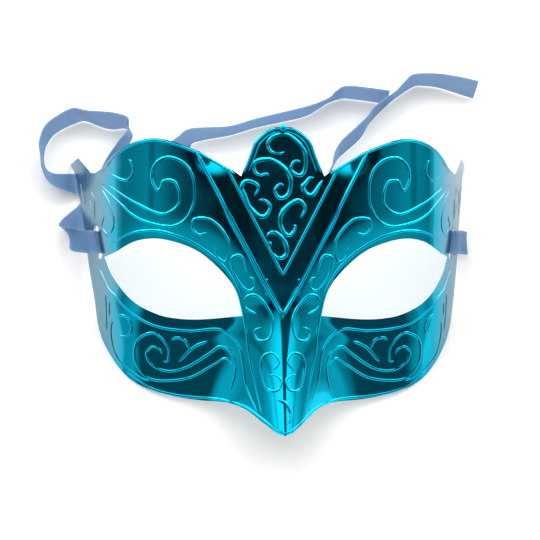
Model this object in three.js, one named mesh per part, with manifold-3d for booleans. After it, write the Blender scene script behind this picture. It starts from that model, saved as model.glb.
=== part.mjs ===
import * as THREE from 'three';
import * as BufferGeometryUtils from 'three/addons/utils/BufferGeometryUtils.js';
import Module from 'manifold-3d';

// Half mask of thin moulded plastic, lying on its back. Millimetres, +Z up.
// The face is worked out square to its own front: x across, y up the forehead, z out of the face.
// At the end it leans back by REST_TILT, so that it lies on two temple tips and two cheek edges.

const WALL = 0.9;
const HALF_WIDTH = 85;
const FRONT_DEPTH = 55;
const REST_TILT = THREE.MathUtils.degToRad(19.3);
const TABLE_HEIGHT = 16.4;
const CENTRE_SHIFT = 17.6;
const PLAQUE_RISE = 1.7;
const BEAD_HEIGHT = 0.55;
const BEAD_WIDTH = 1.6;
const BEAD_ROOT = 0.55;
const RIBBON_WIDTH = 10;
const RIBBON_THICKNESS = 0.4;

// Half outlines, each point [distance from the middle, height up the face].
const CROWN_EDGE = [[0, 65.7], [5.4, 64.8], [11.8, 59.5], [14.3, 53.3], [17.8, 44.5]];
const BROW_EDGE = [[17.8, 44.5], [20.1, 46.2], [31, 52.5], [35.3, 55], [52.1, 60.6], [60.3, 59.9],
  [67.7, 56.3], [72.3, 51.7], [74.1, 49], [77.4, 46.2]];
const EAR_EDGE = [[77.4, 46.2], [78.9, 46.2], [83.3, 52.9], [85.7, 50.2]];
const SIDE_EDGE = [[85.7, 50.2], [84.1, 45.8], [83.4, 42], [83, 38.5], [81.3, 25.4], [79.5, 7.3],
  [77.4, -8.2], [76, -18.5], [73, -28.6], [66, -39.3], [58, -44.8], [52.7, -46.9],
  [43.4, -49.4], [34, -50.8], [21.9, -52], [15.5, -54.6], [9, -59.8], [2.6, -64.9], [0, -65.6]];
const EYE_TOP = [[74, 10.3], [70.4, 12], [62.3, 16.8], [53.3, 18.1], [40.7, 15], [33.1, 10.8],
  [22.5, 0.4], [19, -6], [16.9, -14.8]];
const EYE_BOTTOM = [[16.9, -14.8], [34.9, -16.3], [43.4, -16], [51.8, -14.4], [62.8, -8.5],
  [70.9, 2.1], [74, 10.3]];

// The brow plaque: a raised V that runs from the crown down to the bridge of the nose.
const PLAQUE_V = [[23.8, 48.2], [0, 2.4]];

// Raised lines of the ornament, the same on both halves.
const PAIRED_LINES = {
  brow_scroll: [[76, 41.6], [74.1, 41.5], [62.3, 33.5], [50.3, 28.6], [44.3, 32.4], [44, 38.3],
    [46.1, 42.4], [50.3, 42.6], [51.8, 39.3], [52.9, 38.7], [55.4, 44.3], [53.8, 49.9],
    [49.4, 52.6], [43.7, 51.3], [39.2, 46.9], [37.4, 39.4], [38.2, 31.8], [41.9, 25.6],
    [47.3, 23.3], [58, 25.4], [63.8, 28.7], [68, 33.1], [75.2, 40]],
  brow_hook: [[75.3, 46.4], [72.6, 45.8], [66.7, 43], [64.9, 43.2], [62.9, 46.2], [63.5, 50.3]],
  leaf: [[75.7, 39], [74.1, 37.3], [70.9, 28.7], [70.8, 22.8], [72.8, 19.8], [75, 23.2]],
  brow_curl: [[32.3, 20.6], [35.7, 19.8], [38.2, 22.6], [37.6, 26.2], [30.6, 26], [22.7, 16.3],
    [24.4, 8.2], [27.4, 10.1], [28.7, 14.6]],
  bridge_curl: [[14.8, 3.2], [16.9, 9.9], [18.7, 11], [21.6, 9.7], [20.1, 2.4], [14.8, -4.1],
    [11.8, -2.6], [12.5, 0.9]],
  nose_curl: [[11.1, -14], [15.2, -11.8], [16.2, -10.1], [15.2, -6.7], [11.6, -6], [4.6, -15],
    [6.1, -24.5], [10.7, -24.9], [11.8, -21.1], [8.8, -19.6]],
  nose_heart: [[4.2, -37.8], [1.9, -34.2], [4.5, -30.5], [8.3, -31.8], [9.4, -37], [6.4, -46.2],
    [2.3, -46], [1.2, -41.9], [4.5, -39.7]],
  eye_line: [[71.5, 15.7], [65.9, 19.4], [60.9, 21.1], [52.1, 21.3], [38.2, 16.4], [26.1, 7.3],
    [19.4, -3], [15.3, -21.1], [14.5, -28.8], [9.1, -56.8]],
  cheek_border: [[75.6, 4.7], [72, -3.9], [70.1, -6], [66.1, -11.2], [54.6, -18.7], [39, -21.2],
    [25.5, -20.8], [18.5, -27.5], [15.2, -44.7], [11.5, -54.5]],
  cheek_scroll: [[49.4, -34.2], [48.1, -34.4], [47.5, -29.2], [52.5, -22.7], [55.1, -22.1],
    [59.7, -24.2], [61.6, -28.8], [61.1, -34.2], [58.1, -39.3], [53.6, -42.1], [38.8, -41.3],
    [28.6, -35.7], [23.6, -32.9], [20.6, -35.9]],
  cheek_inner: [[50, -31.2], [50.8, -29.5], [54.2, -28], [56.6, -30.3], [55.7, -34], [51.5, -37.4],
    [45.8, -38.4], [39.2, -36.5], [30.2, -30.7], [26.2, -27.9], [22.3, -29.4], [20.1, -33.3],
    [19.8, -39.6], [21.4, -46.4]],
  cheek_stroke: [[43.1, -34.4], [36.6, -27.9], [31.4, -25.7]],
  temple_ring: [[67.9, -23], [66.3, -23.6], [64.5, -23.2], [63, -20.2], [64.3, -16.5], [67.2, -14.6],
    [70.4, -16.5], [71.3, -20.9], [68.5, -31.5], [57.9, -41.4]],
  outer_v: [[35.9, 53.6], [24.9, 32.4], [22.2, 25.8], [14.6, 11.8], [8.4, -0.2], [0, -14.6]],
};

// Raised lines on the crown and the nose tip that have no twin; x runs to the mask's own left.
const SINGLE_LINES = {
  crown_curl: [[0.6, 54.9], [-1.1, 54.2], [-4.8, 54.9], [-6.5, 58.2], [-4.1, 61.5], [0.8, 62.2],
    [3.8, 61.1], [9.4, 54.6], [8.8, 46], [6.9, 44.9], [3.5, 47.2], [4.5, 50.6], [6, 51.2]],
  upper_curl: [[-6, 44.7], [-6.7, 45.6], [-10, 45.1], [-11.8, 46.6], [-12.1, 50.3], [-5.4, 51.5],
    [1.7, 46.6], [3.4, 41.7], [1.9, 36.4], [-1.4, 35.3], [-3.4, 38.6], [-1.1, 41.3]],
  left_curl: [[-12, 36.1], [-10.4, 39.8], [-11.2, 41.3], [-15.3, 42.6], [-17, 41.3], [-17.5, 39.1],
    [-16.7, 37.4], [-14.6, 32.1], [-10.5, 27.8], [-8.4, 27.3], [-6.7, 28.4], [-5.4, 32.1],
    [-8.4, 34.6]],
  right_curl: [[13.1, 43.9], [11.5, 43.9], [10, 42], [8.4, 40.1], [10.5, 36.7], [12.4, 36.5],
    [17, 42.9]],
  middle_curl: [[7.5, 26.7], [9.5, 31], [7.5, 34], [5.4, 34], [-0.5, 28.8], [-0.9, 23.4],
    [1.9, 19.5], [3.8, 20], [5.4, 23.5]],
  lower_curl: [[-6.9, 18.9], [-5.7, 20.4], [-3.8, 20.9], [0.2, 17.6], [1.7, 13], [1.1, 10.9],
    [-0.8, 9.8], [-2.9, 10.3]],
  nose_hook: [[-3.7, -49.9], [0.6, -51.9], [2.9, -55.9], [1.9, -60.5]],
};

// Ribbons as they lie on the table: middle of the band, compass turn of its width, and its lean.
const LEFT_RIBBON = [[-71.9, 24.4, 14.4, 96, 6], [-77.8, 23.5, 17.2, 96, 6],
  [-81.1, 25.4, 12.4, 96, 4], [-86, 27.6, 8.6, 105, 0], [-88.3, 31.8, 5.4, 118, 0],
  [-86.9, 35.1, 3.5, 130, 4], [-83, 39, 1.9, 134, 8], [-78.7, 43.5, 1, 136, 2], [-72, 54, 0.4, 142, 0],
  [-67.8, 61.5, 1.3, 148, 10], [-65.2, 67.2, 3.1, 163, 34], [-63.4, 72, 4.6, 184, 58],
  [-60.1, 78, 4.9, 219, 63], [-62.1, 82.6, 5.1, 37, 77], [-68.3, 83.6, 4.6, 84, 62],
  [-78.6, 85.6, 5.2, 107, 82], [-83.9, 85.8, 4.7, 120, 64], [-89.1, 83.4, 4.7, 148, 62],
  [-95, 79, 4.8, 176, 61], [-98.1, 72.6, 4.9, 213, 63], [-98.4, 66.8, 5, 237, 67],
  [-97.4, 61.1, 4.8, 237, 63], [-94, 57.2, 3.7, 243, 44], [-88.4, 56, 2.3, 255, 25],
  [-84.7, 55.9, 1.45, 261, 14], [-80.8, 55, 1.8, 273, 8], [-72, 55.6, 4.8, 285, 35],
  [-63, 60, 6.2, 200, 86], [-54, 62.5, 5.1, 125, 66], [-45.5, 67, 4.6, 135, 52],
  [-37.6, 72.8, 4.1, 146, 50], [-33, 76.7, 4.8, 131, 66], [-16.7, 78.9, 5.1, 166, 79],
  [-5, 82.5, 5.1, 173, 79], [14.3, 87.2, 5.1, 164, 78], [21.3, 89.9, 5.1, 203, 77],
  [26.9, 93.1, 5.1, 229, 74], [30.8, 95.6, 5.1, 182, 76], [36, 96.9, 5, 116, 74],
  [53.2, 94.6, 5, 89, 74]];
const RIGHT_RIBBON = [[71.9, 24.4, 14.4, 264, -6], [77.8, 23.5, 17.2, 264, -6],
  [81.1, 25.4, 12.4, 265, -4], [83.8, 26.6, 8, 270, 0], [83.8, 27.6, 4.2, 270, 0],
  [79.6, 29.6, 1.6, 264, 0], [72, 35.2, 0.9, 251, 5], [58, 42, 1.7, 246, 15], [44, 46.5, 3.7, 236, 42],
  [33, 51, 5.2, 225, 68], [26.2, 56, 5.4, 215, 75], [27.3, 62.3, 5.1, 243, 69], [29.4, 67.9, 5, 214, 67],
  [32.7, 72, 4.9, 175, 66], [39, 77.8, 4.9, 178, 65], [43.6, 83.5, 5.1, 210, 70],
  [46.9, 87.7, 5.1, 203, 70], [50.5, 91.1, 5.1, 201, 72], [56.5, 95.9, 5.1, 214, 73],
  [60.8, 99.8, 5.1, 191, 72], [64.6, 102.5, 5, 151, 72], [68.8, 102.9, 5.1, 113, 76],
  [76, 102.4, 5, 90, 73], [84.5, 100.4, 4.8, 77, 63], [91.9, 98.4, 4.5, 75, 57]];

const wasm = await Module();
wasm.setup();

// Height of the front of the mask: a broad brow that turns down at the temples, cheeks that fall
// back below the eyes, and a nose that stands out of the cheeks as a rounded ridge.
function frontZ(x, y) {
  const t = Math.abs(x) / HALF_WIDTH;
  const below = -10 - y;
  const cheekDrop = 0.4 * 0.5 * (below + Math.hypot(below, 8));
  const noseRise = 8 * Math.pow(Math.max(0, below / 52), 1.3);
  const base = FRONT_DEPTH - 11.8 * t * t - 39.2 * Math.pow(t, 8) - cheekDrop;
  return base + (cheekDrop + noseRise) * Math.exp(-x * x / (2 * 15 * 15));
}

function frontNormal(x, y) {
  const step = 0.2;
  const slopeX = (frontZ(x + step, y) - frontZ(x - step, y)) / (2 * step);
  const slopeY = (frontZ(x, y + step) - frontZ(x, y - step)) / (2 * step);
  return new THREE.Vector3(-slopeX, -slopeY, 1).normalize();
}

function onFront(x, y, rise) {
  return new THREE.Vector3(x, y, frontZ(x, y)).addScaledVector(frontNormal(x, y), rise);
}

// A smooth run through the given points, as [x, y] about `step` apart.
function smoothRun(points, step) {
  const through = points.map(([x, y]) => new THREE.Vector3(x, y, 0));
  const curve = new THREE.CatmullRomCurve3(through, false, 'centripetal');
  const count = Math.max(2, Math.round(curve.getLength() / step));
  return curve.getSpacedPoints(count).map((p) => [p.x, p.y]);
}

function joinRuns(runs) {
  return runs.flatMap((run, index) => (index === 0 ? run : run.slice(1)));
}

function solid(geometry) {
  const bare = new THREE.BufferGeometry();
  bare.setAttribute('position', geometry.getAttribute('position'));
  bare.setIndex(geometry.getIndex());
  const merged = BufferGeometryUtils.mergeVertices(bare, 1e-5);
  return new wasm.Manifold(new wasm.Mesh({
    numProp: 3,
    vertProperties: new Float32Array(merged.getAttribute('position').array),
    triVerts: new Uint32Array(merged.getIndex().array),
  }));
}

function fromTriangles(vertices, triangles) {
  const geometry = new THREE.BufferGeometry();
  const places = vertices.flatMap((p) => [p.x, p.y, p.z]);
  geometry.setAttribute('position', new THREE.Float32BufferAttribute(places, 3));
  geometry.setIndex(triangles);
  return geometry;
}

// A closed slab that follows the front between two rises, over the given lines of x and y.
function slab(columns, rows, lowRise, highRise) {
  const vertices = [];
  for (const rise of [lowRise, highRise]) {
    for (const y of rows) {
      for (const x of columns) {
        vertices.push(onFront(x, y, rise));
      }
    }
  }
  const width = columns.length;
  const layer = width * rows.length;
  const triangles = [];
  const quad = (a, b, c, d) => triangles.push(a, b, c, a, c, d);
  for (let r = 0; r + 1 < rows.length; r++) {
    for (let c = 0; c + 1 < width; c++) {
      const a = r * width + c;
      quad(a, a + width, a + width + 1, a + 1);
      quad(layer + a, layer + a + 1, layer + a + width + 1, layer + a + width);
    }
  }
  for (let c = 0; c + 1 < width; c++) {
    const far = (rows.length - 1) * width + c;
    quad(c, c + 1, layer + c + 1, layer + c);
    quad(far + 1, far, layer + far, layer + far + 1);
  }
  for (let r = 0; r + 1 < rows.length; r++) {
    const a = r * width;
    const b = a + width - 1;
    quad(a + width, a, layer + a, layer + a + width);
    quad(b, b + width, layer + b + width, layer + b);
  }
  return solid(fromTriangles(vertices, triangles));
}

// An upright block over a plan outline.
function block(outline, low, high) {
  const shape = new THREE.Shape(outline.map(([x, y]) => new THREE.Vector2(x, y)));
  const geometry = new THREE.ExtrudeGeometry(shape, { depth: high - low, bevelEnabled: false });
  geometry.translate(0, 0, low);
  return solid(geometry);
}

// A raised line: a three-sided bar laid along the front, its root sunk in the wall.
function bead(points, width, base, height, mirrored) {
  const path = mirrored ? points.map(([x, y]) => [-x, y]).reverse() : points;
  const vertices = [];
  path.forEach(([x, y], index) => {
    const before = path[Math.max(0, index - 1)];
    const after = path[Math.min(path.length - 1, index + 1)];
    const normal = frontNormal(x, y);
    const along = onFront(after[0], after[1], 0).sub(onFront(before[0], before[1], 0)).normalize();
    const side = new THREE.Vector3().crossVectors(normal, along).normalize();
    vertices.push(onFront(x, y, base - BEAD_ROOT).addScaledVector(side, width / 2));
    vertices.push(onFront(x, y, base - BEAD_ROOT).addScaledVector(side, -width / 2));
    vertices.push(onFront(x, y, base + height));
  });
  const triangles = [];
  for (let i = 0; i + 1 < path.length; i++) {
    for (let k = 0; k < 3; k++) {
      const a = i * 3 + k;
      const b = i * 3 + (k + 1) % 3;
      triangles.push(a, b + 3, b, a, a + 3, b + 3);
    }
  }
  const last = (path.length - 1) * 3;
  triangles.push(0, 1, 2, last, last + 2, last + 1);
  return solid(fromTriangles(vertices, triangles));
}

// The ribbon slot: a bar with rounded swollen ends, cut square through the steep temple.
function slotCutter(side) {
  const halfLength = 7.4;
  const outline = [];
  const arc = (cx, cy, radius, from, to, count) => {
    for (let i = 0; i <= count; i++) {
      const a = THREE.MathUtils.degToRad(from + (to - from) * i / count);
      outline.push([cx + radius * Math.cos(a), cy + radius * Math.sin(a)]);
    }
  };
  arc(0, halfLength - 2, 2, -50, 230, 7);
  arc(0, 2 - halfLength, 2, 130, 410, 7);
  const shape = new THREE.Shape(outline.map(([x, y]) => new THREE.Vector2(x, y)));
  const geometry = new THREE.ExtrudeGeometry(shape, { depth: 8, bevelEnabled: false });
  geometry.translate(0, 0, -5);
  const top = onFront(side * 77.2, 23.6, 0);
  const bottom = onFront(side * 75.6, 9.5, 0);
  const along = top.clone().sub(bottom).normalize();
  const outward = frontNormal(side * 76.4, 16.5);
  const across = new THREE.Vector3().crossVectors(along, outward).normalize();
  outward.crossVectors(across, along);
  geometry.applyMatrix4(new THREE.Matrix4().makeBasis(across, along, outward));
  const middle = onFront(side * 76.4, 16.5, 0);
  geometry.translate(middle.x, middle.y, middle.z);
  return solid(geometry);
}

function mirrorJoin(half) {
  const other = half.slice(1, -1).map(([x, y]) => [-x, y]).reverse();
  return half.concat(other);
}

function toRest(geometry) {
  geometry.rotateX(REST_TILT);
  geometry.translate(0, CENTRE_SHIFT, -TABLE_HEIGHT);
  return geometry;
}

// Wall of the mask, cut to its outline and its eyes.
const halfColumns = [6, 12, 19, 28, 38, 48, 57, 64, 69.5, 74, 78, 82, 86.5];
const columns = [...halfColumns.map((x) => -x).reverse(), 0, ...halfColumns];
const rows = Array.from({ length: 21 }, (_, i) => -68 + 6.8 * i);
const halfOutline = joinRuns([
  smoothRun(CROWN_EDGE, 4),
  smoothRun(BROW_EDGE, 4.6),
  EAR_EDGE,
  smoothRun(SIDE_EDGE, 4.8),
]);
const outline = mirrorJoin(halfOutline).reverse();
const eye = joinRuns([smoothRun(EYE_TOP, 4.4), smoothRun(EYE_BOTTOM, 4.8)]).slice(0, -1);
let shell = slab(columns, rows, -WALL, 0).intersect(block(outline, -40, 90));
shell = shell.subtract(block(eye, -40, 90));
shell = shell.subtract(block(eye.map(([x, y]) => [-x, y]).reverse(), -40, 90));

// Brow plaque, raised on the front and followed by a pocket behind, so the wall stays thin.
const plaqueHalf = joinRuns([smoothRun(CROWN_EDGE, 4).slice(0, -1), [[18.2, 44.9], ...PLAQUE_V]]);
const plaqueColumns = columns.filter((x) => Math.abs(x) < 30);
const plaqueRows = rows.filter((y) => y > -4);
const plaqueOutline = mirrorJoin(plaqueHalf).reverse();
const pocketOutline = plaqueOutline.map(([x, y]) => [x * 0.9, 34 + (y - 34) * 0.93]);
const plaque = slab(plaqueColumns, plaqueRows, -0.3, PLAQUE_RISE).intersect(block(plaqueOutline, -40, 90));
const pocket = slab(plaqueColumns, plaqueRows, -WALL - 0.5, PLAQUE_RISE - WALL)
  .intersect(block(pocketOutline, -40, 90));
shell = shell.add(plaque.intersect(block(outline, -40, 90))).subtract(pocket);

for (const side of [1, -1]) {
  shell = shell.subtract(slotCutter(side));
  for (const points of Object.values(PAIRED_LINES)) {
    shell = shell.add(bead(smoothRun(points, 6.8), BEAD_WIDTH, 0, BEAD_HEIGHT, side < 0));
  }
}
for (const [name, points] of Object.entries(SINGLE_LINES)) {
  const base = name === 'nose_hook' ? 0 : PLAQUE_RISE;
  shell = shell.add(bead(smoothRun(points, 4.8), BEAD_WIDTH, base, BEAD_HEIGHT, false));
}

// The table plane trims four small flats on the shell: two temple tips and two cheek edges.
const tableGeometry = new THREE.BoxGeometry(300, 300, 40);
tableGeometry.translate(0, 0, TABLE_HEIGHT - 20);
tableGeometry.rotateX(-REST_TILT);
shell = shell.subtract(solid(tableGeometry));

function meshFrom(manifold) {
  const mesh = manifold.getMesh();
  const geometry = new THREE.BufferGeometry();
  geometry.setAttribute('position', new THREE.BufferAttribute(new Float32Array(mesh.vertProperties), 3));
  geometry.setIndex(new THREE.BufferAttribute(new Uint32Array(mesh.triVerts), 1));
  return geometry;
}

// A flat closed band through the stations. Both broad faces are split along the same diagonal, so
// that a twisted stretch keeps its thickness.
function ribbonBand(stations) {
  const vertices = [];
  const middles = stations.map(([x, y, z]) => new THREE.Vector3(x, y, z));
  stations.forEach(([, , , turn, lean], index) => {
    const before = middles[Math.max(0, index - 1)];
    const after = middles[Math.min(middles.length - 1, index + 1)];
    const along = after.clone().sub(before).normalize();
    const a = THREE.MathUtils.degToRad(turn);
    const b = THREE.MathUtils.degToRad(lean);
    const across = new THREE.Vector3(Math.cos(b) * Math.cos(a), Math.cos(b) * Math.sin(a), Math.sin(b));
    across.addScaledVector(along, -across.dot(along)).normalize();
    const face = new THREE.Vector3().crossVectors(along, across);
    for (const [w, t] of [[1, 1], [-1, 1], [-1, -1], [1, -1]]) {
      vertices.push(middles[index].clone()
        .addScaledVector(across, w * RIBBON_WIDTH / 2)
        .addScaledVector(face, t * RIBBON_THICKNESS / 2));
    }
  });
  const triangles = [];
  for (let i = 0; i + 1 < stations.length; i++) {
    for (let k = 0; k < 4; k++) {
      const a = i * 4 + k;
      const b = i * 4 + (k + 1) % 4;
      if (k === 2) {
        triangles.push(a, b, a + 4, b, b + 4, a + 4);
      } else {
        triangles.push(a, b, b + 4, a, b + 4, a + 4);
      }
    }
  }
  const last = (stations.length - 1) * 4;
  triangles.push(0, 2, 1, 0, 3, 2, last, last + 1, last + 2, last, last + 2, last + 3);
  return fromTriangles(vertices, triangles);
}

const group = new THREE.Group();
group.name = 'half_mask';
const shellMesh = new THREE.Mesh(
  toRest(meshFrom(shell)),
  new THREE.MeshStandardMaterial({ color: 0x0fa0bb, roughness: 0.18, metalness: 0.85 }),
);
shellMesh.name = 'mask_shell';
group.add(shellMesh);

const ribbonMaterial = new THREE.MeshStandardMaterial({ color: 0x6a95cc, roughness: 0.5, metalness: 0 });
for (const [name, stations] of [['ribbon_left', LEFT_RIBBON], ['ribbon_right', RIGHT_RIBBON]]) {
  const ribbon = new THREE.Mesh(ribbonBand(stations), ribbonMaterial);
  ribbon.name = name;
  group.add(ribbon);
}
export default group;
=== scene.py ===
import math
import bpy
from mathutils import Vector, Matrix


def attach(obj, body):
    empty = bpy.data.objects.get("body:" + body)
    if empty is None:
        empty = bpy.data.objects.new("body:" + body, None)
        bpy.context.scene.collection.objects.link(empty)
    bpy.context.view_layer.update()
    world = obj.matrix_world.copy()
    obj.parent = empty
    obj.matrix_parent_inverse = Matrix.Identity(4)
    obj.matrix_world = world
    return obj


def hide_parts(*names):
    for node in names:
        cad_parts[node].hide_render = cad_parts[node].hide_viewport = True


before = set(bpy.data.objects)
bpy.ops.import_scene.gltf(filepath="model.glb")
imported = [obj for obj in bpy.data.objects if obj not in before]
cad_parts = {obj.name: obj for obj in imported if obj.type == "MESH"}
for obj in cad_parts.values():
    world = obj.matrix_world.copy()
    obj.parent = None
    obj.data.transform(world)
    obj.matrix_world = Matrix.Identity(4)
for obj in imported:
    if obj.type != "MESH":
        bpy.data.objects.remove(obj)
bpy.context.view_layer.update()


# The shell of the mask: one thin plastic moulding, vacuum formed and trimmed to its outline.
# The sheet is 0.9 mm thick, and the finished face leans back as it lies on the table.
mask_wall = 0.0009
mask_lean = math.radians(19.3)
table_below_face = 0.0164
mask_middle_shift = 0.0176
# The face is worked out square to its own front, in mm. It bows back gently to both sides and
# turns down steeply at the temples.
mask_half_width = 85.0
mask_front_depth = 55.0
front_bow = 11.8
temple_drop = 39.2
# Below the eyes the cheeks are set back and the nose stands out.
cheek_top = -10
cheek_slope = 0.4
cheek_ease = 8
nose_height = 8
nose_length = 52
nose_half_width = 15
# The eye openings slant, and the front falls a little all round them.
eye_middle = (46, -1.5)
eye_tilt = (0.916, 0.402)
eye_half_size = (31.2, 15.5)
eye_fall_depth = 1.0
eye_fall_reach = 8
# The V plaque stands proud of the brow, comes to its point below the middle, and rolls back at
# the tops of its arms.
arm_top = (28.5, 56)
arm_roll_depth = 1.8
arm_roll_spread = 60
plaque_splay = 0.527
plaque_point = 14.6
plaque_rise = 1.2
plaque_slope = 1.3

crown_edge = [(0, 65.7), (5.4, 64.8), (11.8, 59.5), (14.3, 53.3), (17.8, 44.5)]
brow_edge = [(17.8, 44.5), (20.1, 46.2), (31, 52.5), (35.3, 55), (52.1, 60.6), (60.3, 59.9),
             (67.7, 56.3), (72.3, 51.7), (74.1, 49), (77.4, 46.2)]
ear_edge = [(77.4, 46.2), (78.9, 46.2), (83.3, 52.9), (85.7, 50.2)]
side_edge = [(85.7, 50.2), (84.1, 45.8), (83.4, 42), (83, 38.5), (81.3, 25.4), (79.5, 7.3),
             (77.4, -8.2), (76, -18.5), (73, -28.6), (66, -39.3), (58, -44.8), (52.7, -46.9),
             (43.4, -49.4), (34, -50.8), (21.9, -52), (15.5, -54.6), (9, -59.8), (2.6, -64.9),
             (0, -65.6)]
eye_top = [(74, 10.3), (70.4, 12), (62.3, 16.8), (53.3, 18.1), (40.7, 15), (33.1, 10.8),
           (22.5, 0.4), (19, -6), (16.9, -14.8)]
eye_bottom = [(16.9, -14.8), (34.9, -16.3), (43.4, -16), (51.8, -14.4), (62.8, -8.5),
              (70.9, 2.1), (74, 10.3)]


def front_height(x, y):
    """Height of the front in mm: broad brow, turned-down temples, cheeks set back, raised nose,
    a slight fall all round each eye, and a roll back at the top of each arm of the V."""
    t = abs(x) / mask_half_width
    below = cheek_top - y
    cheek_drop = cheek_slope * 0.5 * (below + math.hypot(below, cheek_ease))
    nose_rise = nose_height * max(0.0, below / nose_length) ** 1.3
    nose_share = math.exp(-x * x / (2 * nose_half_width ** 2))
    base = mask_front_depth - front_bow * t * t - temple_drop * t ** 8 - cheek_drop
    eye_x, eye_y = abs(x) - eye_middle[0], y - eye_middle[1]
    eye_along = eye_tilt[0] * eye_x + eye_tilt[1] * eye_y
    eye_across = -eye_tilt[1] * eye_x + eye_tilt[0] * eye_y
    eye_reach = max(math.hypot(eye_along / eye_half_size[0], eye_across / eye_half_size[1]), 1.0)
    past_eye = (1 - 1 / eye_reach) * math.hypot(eye_along, eye_across)
    eye_fall = eye_fall_depth * math.exp(-(past_eye / eye_fall_reach) ** 2)
    from_arm_top = (abs(x) - arm_top[0]) ** 2 + (y - arm_top[1]) ** 2
    arm_roll = arm_roll_depth * math.exp(-from_arm_top / arm_roll_spread)
    return base - eye_fall - arm_roll + (cheek_drop + nose_rise) * nose_share


def plaque_half_width(y):
    """Half the width of the brow plaque, in mm, between the two arms of its V."""
    return plaque_splay * (y + plaque_point)


def plaque_height(x, y):
    """Rise of the brow plaque in mm: flat, with a narrow slope under the bead of the outer V."""
    inside = plaque_half_width(y) - abs(x)
    return plaque_rise * min(1.0, max(0.0, 0.5 + inside / plaque_slope))


def front_normal(x, y):
    """The direction straight out of the front, leaving out the plaque."""
    step = 0.3
    dx = (front_height(x + step, y) - front_height(x - step, y)) / (2 * step)
    dy = (front_height(x, y + step) - front_height(x, y - step)) / (2 * step)
    return Vector((-dx, -dy, 1)).normalized()


def on_front(x, y, rise=0.0):
    """A point on the front, in metres in the face's own square frame."""
    height = Vector((x, y, front_height(x, y)))
    return (height + front_normal(x, y) * (plaque_height(x, y) + rise)) / 1000


def smooth_run(points, step):
    """A round curve through the points, sampled about step mm apart."""
    result = []
    count = len(points)
    for i in range(count - 1):
        p1, p2 = Vector(points[i]), Vector(points[i + 1])
        p0 = Vector(points[i - 1]) if i else p1 * 2 - p2
        p3 = Vector(points[i + 2]) if i + 2 < count else p2 * 2 - p1
        k0 = max((p1 - p0).length, 1e-6) ** 0.5
        k1 = max((p2 - p1).length, 1e-6) ** 0.5
        k2 = max((p3 - p2).length, 1e-6) ** 0.5
        m1 = ((p1 - p0) / k0 - (p2 - p0) / (k0 + k1) + (p2 - p1) / k1) * k1
        m2 = ((p2 - p1) / k1 - (p3 - p1) / (k1 + k2) + (p3 - p2) / k2) * k1
        pieces = max(1, round((p2 - p1).length / step))
        for n in range(pieces):
            s = n / pieces
            a, b = s * s * s, s * s
            result.append(p1 * (2 * a - 3 * b + 1) + m1 * (a - 2 * b + s)
                          + p2 * (3 * b - 2 * a) + m2 * (a - b))
    result.append(Vector(points[-1]))
    return result


def mirrored(points):
    """The same points on the other half of the mask."""
    return [Vector((-p.x, p.y)) for p in points]


def pick(piece):
    """Makes the piece the only one selected, and the active one."""
    bpy.ops.object.select_all(action="DESELECT")
    piece.select_set(True)
    bpy.context.view_layer.objects.active = piece


def lie_down(piece):
    """Leans the finished face back and sets it on the table."""
    lean = Matrix.Rotation(mask_lean, 4, "X")
    place = Matrix.Translation((0, mask_middle_shift, -table_below_face))
    piece.data.transform(place @ lean)
    piece.data.update()


def upright_block(name, points):
    """An upright block over a plan outline, to trim the shell with."""
    foot, tall = -0.04, 0.14
    mesh = bpy.data.meshes.new(name)
    corners = [(p[0] / 1000, p[1] / 1000, foot) for p in points]
    mesh.from_pydata(corners, [], [list(range(len(points)))])
    block = bpy.data.objects.new(name, mesh)
    bpy.context.collection.objects.link(block)
    pick(block)
    bpy.ops.object.mode_set(mode="EDIT")
    bpy.ops.mesh.select_all(action="SELECT")
    bpy.ops.mesh.extrude_region_move(TRANSFORM_OT_translate={"value": (0, 0, tall)})
    bpy.ops.mesh.select_all(action="SELECT")
    bpy.ops.mesh.normals_make_consistent(inside=False)
    bpy.ops.object.mode_set(mode="OBJECT")
    return block


def trim(piece, cutter, operation):
    """Cuts the piece with the cutter, which is used up."""
    modifier = piece.modifiers.new("trim", "BOOLEAN")
    modifier.operation = operation
    modifier.solver = "EXACT"
    modifier.object = cutter
    bpy.context.view_layer.objects.active = piece
    bpy.ops.object.modifier_apply(modifier="trim")
    bpy.data.objects.remove(cutter)


# The sheet starts as a flat grid, is raised onto the front, and is trimmed after that.
grid_cells = 198
grid_size = 0.178
grid_reach = 89
grid_squash = 0.77
inner_columns = 26
least_crease = 6
bpy.ops.mesh.primitive_grid_add(x_subdivisions=grid_cells, y_subdivisions=grid_cells,
                                size=grid_size)
shell = bpy.context.object
shell.name = "mask_moulding"
for vertex in shell.data.vertices:
    # One line of the grid follows the foot of the plaque's slope and the next one its top.
    column = abs(round(vertex.co.x / grid_size * grid_cells))
    y = vertex.co.y * 1000 * grid_squash
    crease = max(plaque_half_width(y), least_crease)
    if column <= inner_columns:
        x = (crease - plaque_slope / 2) * column / inner_columns
    else:
        outer_share = (column - inner_columns - 1) / (grid_cells / 2 - inner_columns - 1)
        x = crease + plaque_slope / 2 + (grid_reach - crease) * outer_share
    vertex.co = on_front(math.copysign(x, vertex.co.x), y)
lacquer = bpy.data.materials.new("teal_metallised_lacquer")
# The slot walls' material: bare plastic, its pale colour also a painted highlight.
bare_and_highlight = bpy.data.materials.new("bare_plastic_and_painted_highlight")
inside = bpy.data.materials.new("dull_inside_plastic")
for material in (lacquer, bare_and_highlight, inside):
    shell.data.materials.append(material)
thickness = shell.modifiers.new("wall", "SOLIDIFY")
thickness.material_offset = 2
thickness.thickness = mask_wall
thickness.offset = -1
thickness.use_even_offset = True
bpy.ops.object.modifier_apply(modifier="wall")

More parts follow.
